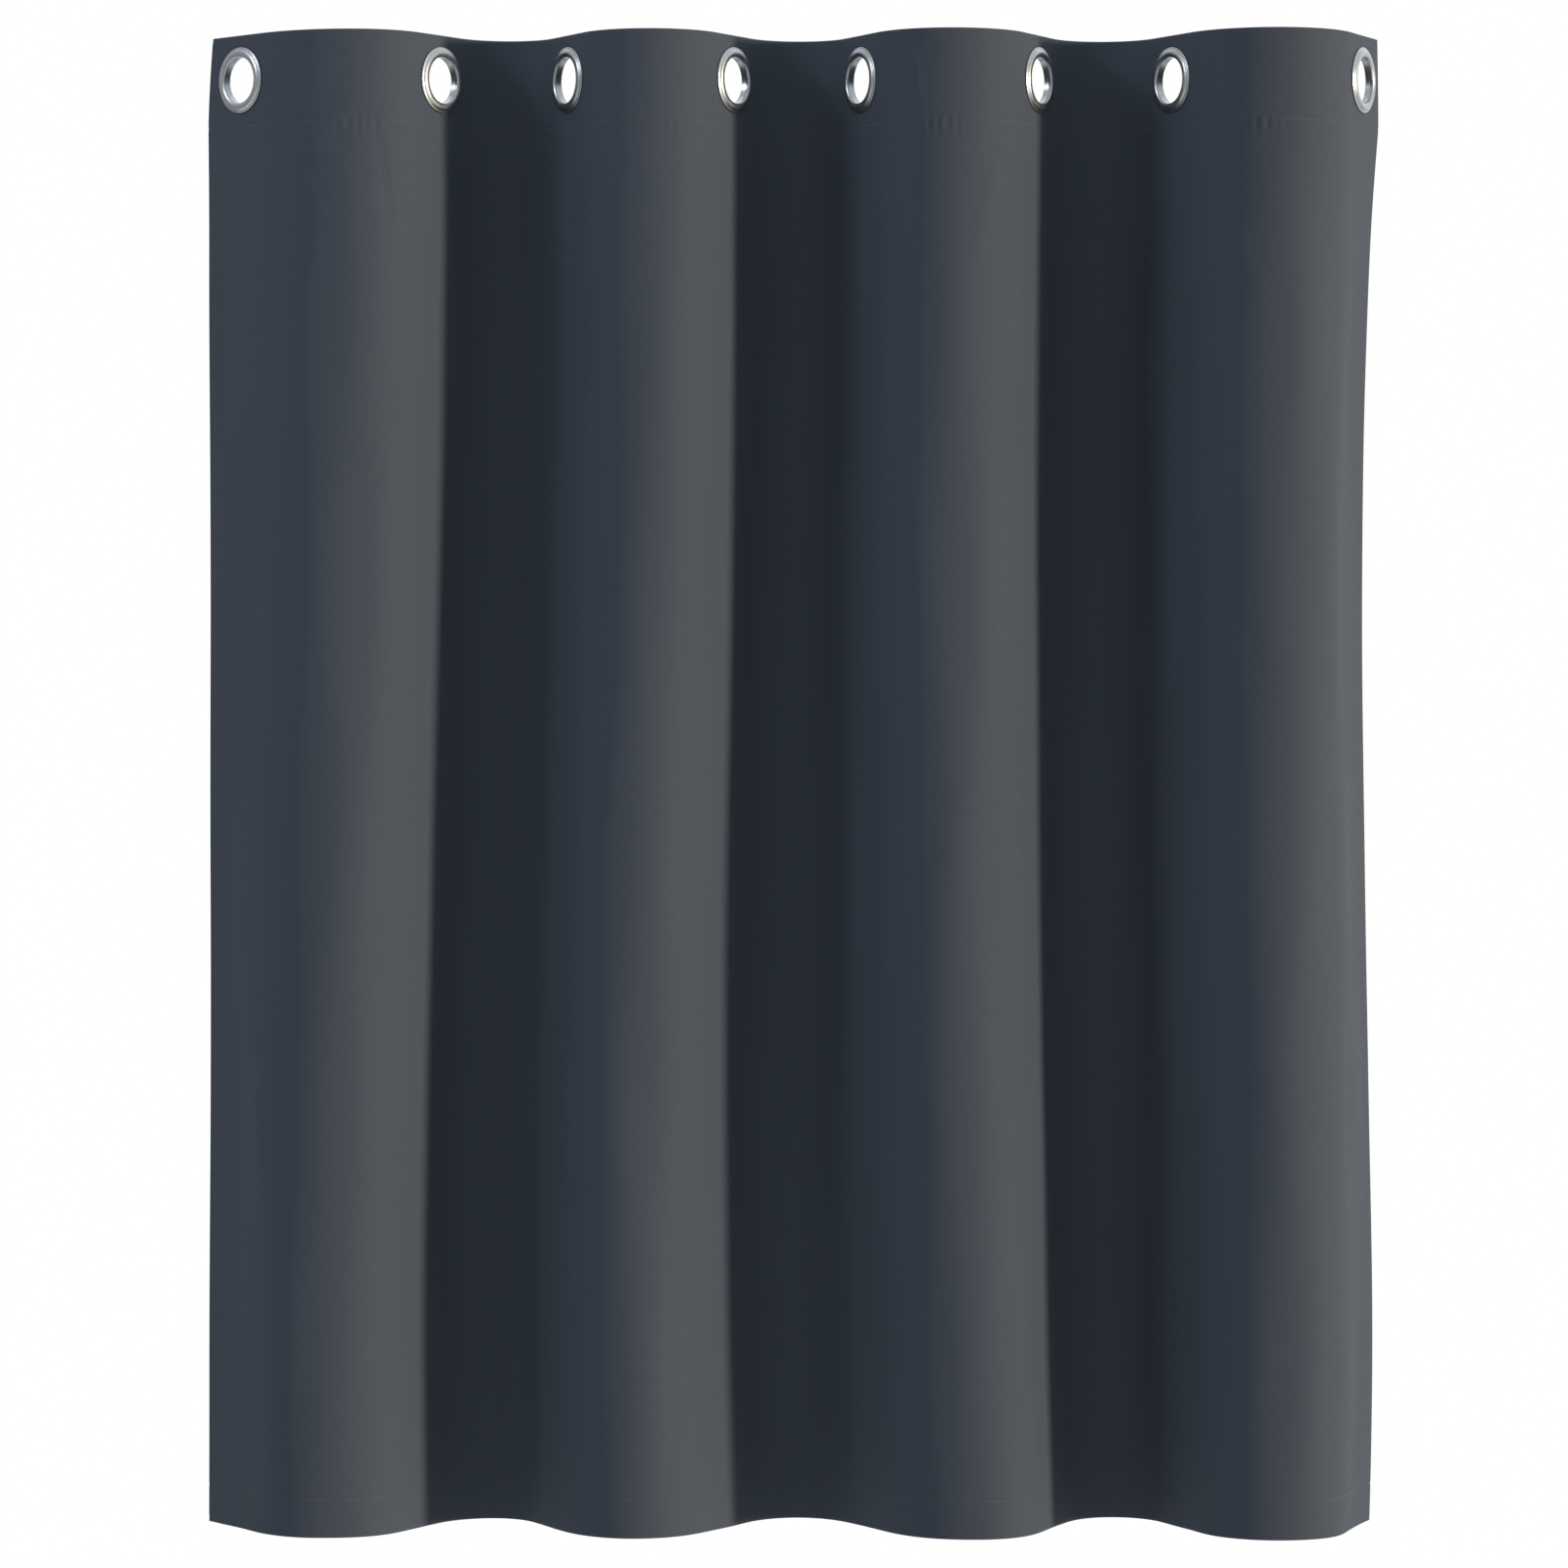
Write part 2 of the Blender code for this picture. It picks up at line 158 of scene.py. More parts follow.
# Spacing of the cloth's points
COLUMN = 0.0046
FINE_COLUMN = 0.0021
ROW = 0.009
PUCKER_ROW = 0.0018
HEADER_ROW = 0.0036
HEADER_SEAM_ROW = 0.0008
HEM_ROW = 0.005
HEM_SEAM_ROW = 0.001
TURNING_ROW = 0.0055
SIDE_TURNING_COLUMN = 0.0027
PUCKER_BAND = 0.024  # the pucker rows' reach below the header seam
HEADER_SEAM_BAND = 0.003  # the seam rows' reach each side of their seam
HEM_SEAM_BAND = 0.004
SIDE_TURNING_ENDS = (0.001, 0.0015)  # a side turning ends this far inside the bottom and the top edge
TAPE_PAST_HEM = 0.001  # between a side hem and the tape's end
TURN_STEPS = 5
FOLD_STEPS = 160
NEAR_HOLE = (0.3, 1.5)  # a hole's edge points lie between these shares of its radius before they are moved
ON_CUT = 1e-6  # points this near the cut through an eyelet's middle stay on it
CLOTH_SHARP = 60.0  # degrees between faces, from which an edge is sharp
METAL_SHARP = 50.0

# Stitches
STITCH = 0.0026
STITCH_PITCH = 0.0032
THREAD_R = 0.00020
SIDE_STITCH_END = 0.004  # a side seam ends this far inside the top and bottom edges
SIDE_STITCH_BELOW_SEAM = 0.006  # and on the rear, this far below the header seam

# Colours, dark and light, and the patterns of the materials
CLOTH_COLOURS = ((0.0250, 0.0318, 0.0446), (0.0350, 0.0440, 0.0606))
CLOTH_PITCH = 0.00045  # between threads
CLOTH_SHEEN = 0.02
TAPE_COLOURS = ((0.60, 0.60, 0.58), (0.80, 0.80, 0.78))
TAPE_PITCH = 0.0011
TAPE_SHEEN = 0.1
THREAD_COLOURS = ((0.030, 0.034, 0.041), (0.060, 0.066, 0.078))
THREAD_TWIST = 0.0005
METAL_COLOURS = ((0.34, 0.35, 0.355), (0.50, 0.51, 0.52))
FLOOR_COLOURS = ((0.84, 0.80, 0.76), (0.88, 0.84, 0.80))
SLUB_FINE = 900.0  # noise scales, per metre: across a slub and along it
SLUB_LONG = 40.0
PATCHES = (7.0, 2.5)  # and of the cloth's uneven colour, across and down
CLOUDS = (60.0, 90.0)  # and of the plating's cloudy polish and its turning marks
TURNING_MARKS = (30.0, 6000.0)
WEAVE_DEPTH = 0.00006
THREAD_DEPTH = 0.00004
MARKS_DEPTH = 0.00002

# View and light
CAMERA_AT = (-0.0162, -4.86, -0.49)
LENS = 121.5
CAMERA_DOWN = 1.817  # degrees
KEY_SIDE = 70.0  # degrees to the right of the view
KEY_HEIGHT = 0.5
KEY_SOFTNESS = 5.0
KEY_STRENGTH = 4.9
KEY_COLOUR = (1.0, 0.865, 0.66)
FILL_COLOUR = (0.90, 0.97, 1.03)
FILL_LEFT_TO_RIGHT = (0.44, 0.72)
FILL_BELOW_TO_ABOVE = (0.2, 1.6)
FILL_SIDE_TO_BEHIND = (1.0, 2.4)
FILL_BEHIND_FROM = 0.3  # Y of the direction from which it grows
SOFTBOX_AT = (-2.6, -1.3, 1.4)
SOFTBOX_SIZE = 0.9
SOFTBOX_POWER = 35.0
FLAG_OVERLAP = 0.0005  # of a flag's edge over the bore's
FLOOR_BELOW_HEM = 0.27
FLOOR_BACK = 1.15
FLOOR_SIZE = (9.0, 7.0)


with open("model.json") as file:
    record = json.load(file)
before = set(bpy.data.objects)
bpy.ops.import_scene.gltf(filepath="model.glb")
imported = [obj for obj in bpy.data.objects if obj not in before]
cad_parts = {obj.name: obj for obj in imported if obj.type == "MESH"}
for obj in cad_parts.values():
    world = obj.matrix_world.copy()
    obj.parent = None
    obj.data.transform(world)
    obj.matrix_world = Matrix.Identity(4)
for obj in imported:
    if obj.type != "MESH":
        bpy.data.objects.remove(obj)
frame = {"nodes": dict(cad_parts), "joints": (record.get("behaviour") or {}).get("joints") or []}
cad_low, cad_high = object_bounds()


def box_middle_z(node):
    low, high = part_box(node)
    return (low.z + high.z) / 2


TOP_Z = cad_high.z
BOTTOM_Z = cad_low.z
SEAM_Z = box_middle_z("header_seam_1")
HEM_SEAM_Z = box_middle_z("hem_seam_1")
RING_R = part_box("front_ring_1")[1].z
RING_FLAT = RING_R + RING_LAND
BORE_R = RING_R - BORE_SPARE
EYELETS = len([name for name in frame["nodes"] if name.startswith("front_ring_")])
HEM_DEPTH = HEM_SEAM_Z + HEM_ABOVE_SEAM - BOTTOM_Z


def add_object(name, data):
    obj = bpy.data.objects.new(name, data)
    bpy.context.scene.collection.objects.link(obj)
    return obj


# ---------------------------------------------------------------- camera, light and floor


def make_camera():
    camera = add_object("camera", bpy.data.cameras.new("camera"))
    camera.location = CAMERA_AT
    camera.rotation_euler = (pi / 2 - radians(CAMERA_DOWN), 0.0, 0.0)
    camera.data.lens = LENS
    camera.data.clip_end = 40.0
    bpy.context.scene.camera = camera


def make_key_light():
    sun = bpy.data.lights.new("key", "SUN")
    sun.energy = KEY_STRENGTH
    sun.angle = radians(KEY_SOFTNESS)
    sun.color = KEY_COLOUR
    key = add_object("key", sun)
    side, height = radians(KEY_SIDE), radians(KEY_HEIGHT)
    towards = Vector((sin(side) * cos(height), -cos(side) * cos(height), sin(height)))
    key.rotation_euler = towards.to_track_quat("Z", "Y").to_euler()


def make_softbox():
    """A soft light high on the left, so that the header is a little lighter than the hem."""
    lamp = bpy.data.lights.new("softbox", "AREA")
    lamp.energy = SOFTBOX_POWER
    lamp.size = SOFTBOX_SIZE
    lamp.color = FILL_COLOUR
    box = add_object("softbox", lamp)
    box.location = SOFTBOX_AT
    box.rotation_euler = Vector(SOFTBOX_AT).to_track_quat("Z", "Y").to_euler()
    box.visible_camera = False


def make_studio():
    """A plain white studio, whose soft fill light comes more from the right, above and behind."""
    world = bpy.data.worlds.new("white studio")
    bpy.context.scene.world = world
    world.use_nodes = True
    tree = world.node_tree
    place = tree.nodes.new("ShaderNodeTexCoord")
    parts = tree.nodes.new("ShaderNodeSeparateXYZ")
    strength = None
    for axis, start, (low, high) in (
        ("X", -1.0, FILL_LEFT_TO_RIGHT),
        ("Z", -1.0, FILL_BELOW_TO_ABOVE),
        ("Y", FILL_BEHIND_FROM, FILL_SIDE_TO_BEHIND),
    ):
        share = tree.nodes.new("ShaderNodeMapRange")
        share.inputs["From Min"].default_value = start
        share.inputs["To Min"].default_value = low
        share.inputs["To Max"].default_value = high
        tree.links.new(parts.outputs[axis], share.inputs["Value"])
        product = tree.nodes.new("ShaderNodeMath")
        product.operation = "MULTIPLY"
        product.inputs[0].default_value = 1.0
        if strength:
            tree.links.new(strength, product.inputs[0])
        tree.links.new(share.outputs[0], product.inputs[1])
        strength = product.outputs[0]
    path = tree.nodes.new("ShaderNodeLightPath")
    seen = tree.nodes.new("ShaderNodeBackground")
    lit = tree.nodes["Background"]
    lit.inputs["Color"].default_value = (*FILL_COLOUR, 1.0)
    seen.inputs["Color"].default_value = (1.0, 1.0, 1.0, 1.0)
    either = tree.nodes.new("ShaderNodeMixShader")
    tree.links.new(place.outputs["Generated"], parts.inputs[0])
    tree.links.new(strength, lit.inputs["Strength"])
    tree.links.new(path.outputs["Is Camera Ray"], either.inputs[0])
    tree.links.new(lit.outputs[0], either.inputs[1])
    tree.links.new(seen.outputs[0], either.inputs[2])
    tree.links.new(either.outputs[0], tree.nodes["World Output"].inputs["Surface"])
    bpy.context.scene.view_settings.view_transform = "Standard"


def make_flag(plan, k):
    """A disc across an eyelet's bore, seen by nothing, that keeps the key light from shining through."""
    mesh = bmesh.new()
    bmesh.ops.create_circle(mesh, cap_ends=True, segments=32, radius=BORE_R + FLAG_OVERLAP)
    data = bpy.data.meshes.new(f"flag_{k + 1}")
    mesh.to_mesh(data)
    mesh.free()
    flag = add_object(f"flag_{k + 1}", data)
    direction = plan.directions[k]
    flag.location = (*plan.centres[k], 0.0)
    flag.rotation_euler = Vector((direction[1], -direction[0], 0.0)).to_track_quat("Z", "Y").to_euler()
    flag.visible_camera = False
    flag.visible_diffuse = False
    flag.visible_glossy = False
    flag.visible_transmission = False
    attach(flag, f"flank_{k + 1}")


def make_floor():
    mesh = bmesh.new()
    bmesh.ops.create_grid(mesh, x_segments=2, y_segments=2, size=0.5)
    data = bpy.data.meshes.new("floor")
    mesh.to_mesh(data)
    mesh.free()
    floor = add_object("floor", data)
    floor.scale = (*FLOOR_SIZE, 1.0)
    floor.location = (0.0, FLOOR_BACK - FLOOR_SIZE[1] / 2, BOTTOM_Z - FLOOR_BELOW_HEM)
    data.materials.append(floor_material())


# ---------------------------------------------------------------- materials


class Nodes:
    """A material's node tree, with short ways to add to it."""

    def __init__(self, name):
        self.material = bpy.data.materials.new(name)
        self.material.use_nodes = True
        self.tree = self.material.node_tree
        self.shader = self.tree.nodes["Principled BSDF"]

    def link(self, source, target):
        if isinstance(source, (int, float)):
            target.default_value = source
        else:
            self.tree.links.new(source, target)

    def math(self, operation, a, b=0.0):
        node = self.tree.nodes.new("ShaderNodeMath")
        node.operation = operation
        self.link(a, node.inputs[0])
        self.link(b, node.inputs[1])
        return node.outputs[0]

    def cloth_place(self):
        """Flat places on the cloth in metres, as X and Y."""
        node = self.tree.nodes.new("ShaderNodeUVMap")
        node.uv_map = "cloth"
        parts = self.tree.nodes.new("ShaderNodeSeparateXYZ")
        self.tree.links.new(node.outputs["UV"], parts.inputs[0])
        return node.outputs["UV"], parts.outputs["X"], parts.outputs["Y"]

    def stretched(self, place, across, down):
        node = self.tree.nodes.new("ShaderNodeMapping")
        node.inputs["Scale"].default_value = (across, down, 1.0)
        self.tree.links.new(place, node.inputs["Vector"])
        return node.outputs[0]

    def noise(self, place, scale, detail=2.0):
        node = self.tree.nodes.new("ShaderNodeTexNoise")
        node.inputs["Scale"].default_value = scale
        node.inputs["Detail"].default_value = detail
        if place:
            self.tree.links.new(place, node.inputs["Vector"])
        return node.outputs["Fac"]

    def spread(self, value, low, high, out_low, out_high):
        node = self.tree.nodes.new("ShaderNodeMapRange")
        node.inputs["From Min"].default_value = low
        node.inputs["From Max"].default_value = high
        node.inputs["To Min"].default_value = out_low
        node.inputs["To Max"].default_value = out_high
        self.tree.links.new(value, node.inputs["Value"])
        return node.outputs[0]

    def mix(self, factor, dark, light):
        node = self.tree.nodes.new("ShaderNodeMix")
        node.data_type = "RGBA"
        self.tree.links.new(factor, node.inputs["Factor"])
        node.inputs["A"].default_value = (*dark, 1.0)
        node.inputs["B"].default_value = (*light, 1.0)
        return node.outputs["Result"]

    def bump(self, height, distance, strength=1.0):
        node = self.tree.nodes.new("ShaderNodeBump")
        node.inputs["Strength"].default_value = strength
        node.inputs["Distance"].default_value = distance
        self.tree.links.new(height, node.inputs["Height"])
        return node.outputs[0]

    def weave(self, x, y, pitch):
        """A plain weave, 0 to 1: warp and weft threads that pass over each other in turn."""
        across = self.math("SINE", self.math("MULTIPLY", x, pi / pitch))
        down = self.math("SINE", self.math("MULTIPLY", y, pi / pitch))
        warp = self.math("ABSOLUTE", across)
        weft = self.math("ABSOLUTE", down)
        over = self.math("GREATER_THAN", self.math("MULTIPLY", across, down), 0.0)
        under = self.math("SUBTRACT", 1.0, over)
        return self.math("ADD", self.math("MULTIPLY", warp, over), self.math("MULTIPLY", weft, under))

    def finish(self, **sockets):
        for name, value in sockets.items():
            self.link(value, self.shader.inputs[name.replace("_", " ")])
        return self.material


def cloth_material(name, colours, pitch, sheen):
    """Cloth of a plain weave, a little uneven in colour, with slubs along both threads."""
    nodes = Nodes(name)
    place, x, y = nodes.cloth_place()
    weave = nodes.weave(x, y, pitch)
    slub = nodes.noise(nodes.stretched(place, SLUB_FINE, SLUB_LONG), 1.0)
    slub_across = nodes.noise(nodes.stretched(place, SLUB_LONG, SLUB_FINE), 1.0)
    patch = nodes.noise(nodes.stretched(place, *PATCHES), 1.0, 3.0)
    threads = nodes.math("ADD", slub, slub_across)
    tone = nodes.math("ADD", nodes.math("MULTIPLY", weave, 0.5), nodes.math("MULTIPLY", threads, 0.35))
    tone = nodes.math("ADD", tone, nodes.math("MULTIPLY", nodes.math("SUBTRACT", patch, 0.5), 0.35))
    tone = nodes.spread(tone, 0.2, 1.15, 0.0, 1.0)
    height = nodes.math("ADD", nodes.math("MULTIPLY", threads, 0.6), weave)
    rough = nodes.spread(nodes.math("ADD", threads, weave), 0.4, 2.0, 0.92, 0.74)
    return nodes.finish(
        Base_Color=nodes.mix(tone, *colours),
        Roughness=rough,
        Sheen_Weight=sheen,
        Sheen_Roughness=0.45,
        Specular_IOR_Level=0.25,
        Normal=nodes.bump(height, WEAVE_DEPTH, 0.6),
    )


def thread_material():
    nodes = Nodes("sewing thread")
    _, x, y = nodes.cloth_place()
    twist = nodes.math("SINE", nodes.math("MULTIPLY", nodes.math("ADD", x, y), tau / THREAD_TWIST))
    tone = nodes.spread(twist, -1.0, 1.0, 0.0, 1.0)
    return nodes.finish(
        Base_Color=nodes.mix(tone, *THREAD_COLOURS),
        Roughness=nodes.spread(twist, -1.0, 1.0, 0.6, 0.4),
        Sheen_Weight=0.2,
        Normal=nodes.bump(tone, THREAD_DEPTH),
    )


def metal_material():
    """Satin plating: faint turning marks round the ring and a slightly cloudy polish."""
    nodes = Nodes("satin eyelet plating")
    place, _, _ = nodes.cloth_place()
    cloud = nodes.noise(nodes.stretched(place, *CLOUDS), 1.0, 3.0)
    marks = nodes.noise(nodes.stretched(place, *TURNING_MARKS), 1.0, 2.0)
    tone = nodes.math("ADD", nodes.math("MULTIPLY", cloud, 0.7), nodes.math("MULTIPLY", marks, 0.3))
    return nodes.finish(
        Base_Color=nodes.mix(tone, *METAL_COLOURS),
        Metallic=1.0,
        Roughness=nodes.spread(tone, 0.3, 0.7, 0.38, 0.24),
        Normal=nodes.bump(marks, MARKS_DEPTH, 0.5),
    )


def floor_material():
    nodes = Nodes("pale floor")
    noise = nodes.noise(None, 3.0, 4.0)
    return nodes.finish(
        Base_Color=nodes.mix(noise, *FLOOR_COLOURS),
        Roughness=nodes.spread(noise, 0.3, 0.7, 0.6, 0.75),
    )


# ---------------------------------------------------------------- where the cloth hangs


def read_eyelets():
    """The eyelets' places along the rod, and the cloth's direction from left to right at each."""
    centres, directions = [], []
    for k in range(EYELETS):
        vertices = frame["nodes"][f"front_ring_{k + 1}"].data.vertices
        points = np.array([vertex.co for vertex in vertices])
        mean = points.mean(axis=0)
        normal = np.linalg.eigh(np.cov((points - mean).T))[1][:, 0]
        if normal[1] > 0:
            normal = -normal
        centres.append(np.array((mean[0] - mean[1] * normal[0] / normal[1], 0.0)))
        directions.append(np.array((-normal[1], normal[0])))
    return centres, directions


def fold_curve(start, start_dir, end, end_dir):
    """Points of a smooth bulge that leaves start along start_dir and reaches end along end_dir."""
    half_turn = np.arccos(np.clip(start_dir @ end_dir, -1, 1)) / 2
    reach = np.linalg.norm(end - start) * 2 / 3 / (1 + cos(half_turn))
    t = (np.arange(1, FOLD_STEPS) / FOLD_STEPS)[:, None]
    first = start + start_dir * reach
    second = end - end_dir * reach
    return start * (1 - t) ** 3 + first * 3 * t * (1 - t) ** 2 + second * 3 * t * t * (1 - t) + end * t**3


class Plan:
    """The cloth seen from above."""

    BEYOND = 0.03  # the ends are carried on straight this far, for smoothing

    def __init__(self):
        self.centres, self.directions = read_eyelets()
        left_reach = (self.centres[0][0] - cad_low.x) / self.directions[0][0]
        right_reach = (cad_high.x - self.centres[-1][0]) / self.directions[-1][0]
        rows = [self.centres[0] - self.directions[0] * left_reach]
        for k, (centre, direction) in enumerate(zip(self.centres, self.directions)):
            before = centre - direction * RING_FLAT
            if k:
                rows += list(fold_curve(rows[-1], self.directions[k - 1], before, direction))
                rows.append(before)
            rows.append(centre + direction * RING_FLAT)
        rows[-1] = self.centres[-1] + self.directions[-1] * right_reach
        rows.insert(0, rows[0] - self.directions[0] * self.BEYOND)
        rows.append(rows[-1] + self.directions[-1] * self.BEYOND)
        points = np.array(rows)
        steps = np.linalg.norm(np.diff(points, axis=0), axis=1)
        lengths = np.concatenate([[0.0], np.cumsum(steps)]) - self.BEYOND
        self.width = lengths[-1] - self.BEYOND
        self.even_s = np.arange(lengths[0], lengths[-1], SAMPLE)
        self.sharp = np.stack([np.interp(self.even_s, lengths, points[:, i]) for i in (0, 1)], 1)
        self.soft = self.softened(self.sharp, SOFTEN / SAMPLE)
        self.eyelet_s = [self.s_near(*centre) for centre in self.centres]
        joints = sorted(frame["joints"], key=lambda joint: joint["pos_m"][0])
        hinges = [self.s_near(*joint["pos_m"][:2]) for joint in joints]
        self.line_s = [0.0, *hinges[1:], self.width]

    @staticmethod
    def softened(points, sigma):
        reach = int(3 * sigma)
        kernel = np.exp(-0.5 * (np.arange(-reach, reach + 1) / sigma) ** 2)
        kernel /= kernel.sum()
        padded = np.pad(points, ((reach, reach), (0, 0)), mode="reflect", reflect_type="odd")
        return np.stack([np.convolve(padded[:, i], kernel, mode="valid") for i in (0, 1)], 1)

    def s_near(self, x, y):
        return float(self.even_s[np.argmin(np.hypot(self.sharp[:, 0] - x, self.sharp[:, 1] - y))])

    def place(self, s, softness):
        """X and Y at s, between the header's own curve (softness 0) and the rounded one (1)."""
        found = []
        for i in (0, 1):
            sharp = np.interp(s, self.even_s, self.sharp[:, i])
            soft = np.interp(s, self.even_s, self.soft[:, i])
            found.append(sharp + (soft - sharp) * softness)
        return found


def smoothstep(t):
    t = np.clip(t, 0.0, 1.0)
    return t * t * (3 - 2 * t)


def sideways(plan, s, fall):
    """How far the cloth at s has wandered along X, at this share of the fall."""
    curves = [np.polyfit(DRIFT_AT, row, 3) for row in DRIFT]
    at_lines = np.stack([np.polyval(curve, fall) for curve in curves])
    k = np.clip(np.searchsorted(plan.line_s, s, side="right") - 1, 0, len(DRIFT) - 2)
    line_s = np.array(plan.line_s)
    share = smoothstep((s - line_s[k]) / (line_s[k + 1] - line_s[k]))
    left = np.take_along_axis(at_lines, k[None], 0)[0]
    right = np.take_along_axis(at_lines, k[None] + 1, 0)[0]
    return left + (right - left) * share


def relief(plan, s, z):
    """Small forms across the cloth's surface, positive to the rear."""
    found = np.zeros_like(s)
    for seam_z in (SEAM_Z, HEM_SEAM_Z):
        found += SEAM_DIP * np.exp(-(((z - seam_z) / SEAM_DIP_WIDTH) ** 2))
    below = SEAM_Z - z
    fade_below = np.exp(-(((below - PUCKER_PEAK) / PUCKER_FALL) ** 2))
    fade = np.where(below > 0, fade_below, np.exp(below / PUCKER_ABOVE))
    for number, (fold, offset, half_width) in enumerate(PUCKERS):
        along = s - plan.line_s[fold] - offset
        wander = PUCKER_WANDER * np.sin(along / PUCKER_WAVE * PUCKER_WANDER_RATE + number)
        wave = np.cos(tau * along / PUCKER_WAVE + wander)
        found -= PUCKER_HEIGHT * wave * fade * np.exp(-((along / half_width) ** 2))
    for fold, offset, start, run, drop, half_width, height in CREASES:
        share = (below - start) / drop
        away = s - plan.line_s[fold] - offset - run * share
        fade = smoothstep(share / CREASE_COMING + CREASE_AT_START)
        fade *= smoothstep((CREASE_END - share) / CREASE_GOING)
        found -= height * fade * np.exp(-((away / half_width) ** 2))
    begun = smoothstep(below / (SEAM_Z - BOTTOM_Z) / SWELL_FALL)
    for height, across, down, phase, down_phase in SWELLS:
        wander = SWELL_WANDER * np.sin(tau * z / down + down_phase)
        found += height * begun * np.sin(tau * s / across + phase + wander) * np.cos(tau * z / down)
    return found


def leaning(plan, s, z):
    """How far along itself the cloth is drawn in at the header's outer corners."""
    up = np.clip((z - SEAM_Z) / (TOP_Z - SEAM_Z), 0.0, 1.0) ** CORNER_CURVE
    left, right = (1 - smoothstep(edge / CORNER_REACH) for edge in (s, plan.width - s))
    return up * (CORNER_LEAN[0] * left - CORNER_LEAN[1] * right)


class Hang:
    """Where each point of the cloth's face layer hangs."""

    def __init__(self, plan):
        self.plan = plan

    def face(self, s, z):
        fall = np.clip((SEAM_Z - z) / (SEAM_Z - BOTTOM_Z), 0.0, 1.0)
        x, y = self.plan.place(s + leaning(self.plan, s, z), smoothstep(fall / SOFTEN_FALL))
        return np.stack([x + sideways(self.plan, s, fall), y, z + 0.0 * s], -1)

    def rear(self, s, z):
        """The level unit vector to the rear of the cloth."""
        step = 0.0008
        run = self.face(s + step, z) - self.face(s - step, z)
        length = np.hypot(run[..., 0], run[..., 1])
        return np.stack([-run[..., 1] / length, run[..., 0] / length, 0.0 * length], -1)

    def at(self, s, z, depth):
        """Points this deep behind the face layer's middle."""
        s, z, depth = np.broadcast_arrays(s, z, depth)
        s, z, depth = (np.array(a, float) for a in (s, z, depth))
        found = self.face(s, z)
        found += self.rear(s, z) * (depth + relief(self.plan, s, z))[..., None]
        return found


# ---------------------------------------------------------------- the cloth's pieces


def spaced(low, high, step):
    return np.linspace(low, high, max(2, int(round((high - low) / step)) + 1))


def joined(*runs):
    return np.unique(np.round(np.concatenate(runs), 7))


def column_places(plan, left, right):
    """Columns from left to right, closer together at the puckers, with one on each side of the end of
    a side hem's turning."""
    fine = []
    for fold, offset, half in PUCKERS:
        middle = plan.line_s[fold] + offset
        fine.append((middle - PUCKER_COLUMNS * half, middle + PUCKER_COLUMNS * half))
    ends = [(inner - HEM_EASE, inner + HEM_EASE) for inner in (SIDE_HEM, plan.width - SIDE_HEM)]
    marks = {left, right}
    for low, high in fine + ends:
        marks |= {min(max(low, left), right), min(max(high, left), right)}
    marks = sorted(marks)
    runs = []
    for low, high in zip(marks, marks[1:]):
        middle = (low + high) / 2
        close = any(a < middle < b for a, b in fine)
        runs.append(spaced(low, high, FINE_COLUMN if close else COLUMN))
    return joined(*runs)


def face_rows():
    """Heights of the face layer's rows, from the bottom edge's turn to the top edge's turn."""
    low = BOTTOM_Z + (CLOTH + TURNING_DEPTH) / 2
    high = TOP_Z - (CLOTH + FACING_DEPTH) / 2
    return joined(
        spaced(low, HEM_SEAM_Z - HEM_SEAM_BAND, HEM_ROW),
        spaced(HEM_SEAM_Z - HEM_SEAM_BAND, HEM_SEAM_Z + HEM_SEAM_BAND, HEM_SEAM_ROW),
        spaced(HEM_SEAM_Z + HEM_SEAM_BAND, SEAM_Z - PUCKER_BAND, ROW),
        spaced(SEAM_Z - PUCKER_BAND, SEAM_Z - HEADER_SEAM_BAND, PUCKER_ROW),
        spaced(SEAM_Z - HEADER_SEAM_BAND, SEAM_Z + HEADER_SEAM_BAND, HEADER_SEAM_ROW),
        spaced(SEAM_Z + HEADER_SEAM_BAND, high, HEADER_ROW),
    )


def turn(depth, centre_z, way):
    """Depths and heights round a turned edge, from the rear layer to the face layer."""
    radius = depth / 2
    angles = [pi * i / TURN_STEPS for i in range(1, TURN_STEPS)]
    return [(radius + radius * cos(a), centre_z + way * radius * sin(a)) for a in angles]


def cloth_rows():
    """(depth, height, distance along the cut) round the panel: up the hem's turning, down round the
    bottom edge, up the face, over the top edge and down the facing."""
    rows = face_rows()
    turning = spaced(rows[0], BOTTOM_Z + HEM_DEPTH, TURNING_ROW)
    facing = spaced(SEAM_Z - FACING_BELOW_SEAM, rows[-1], HEADER_ROW)
    profile = [(TURNING_DEPTH, z) for z in turning[::-1]]
    profile += turn(TURNING_DEPTH, rows[0], -1)
    profile += [(0.0, z) for z in rows]
    profile += turn(FACING_DEPTH, rows[-1], 1)[::-1]
    profile += [(FACING_DEPTH, z) for z in facing[::-1]]
    profile = np.array(profile)
    along = np.concatenate([[0.0], np.cumsum(np.hypot(*np.diff(profile, axis=0).T))])
    return profile[:, 0], profile[:, 1], along


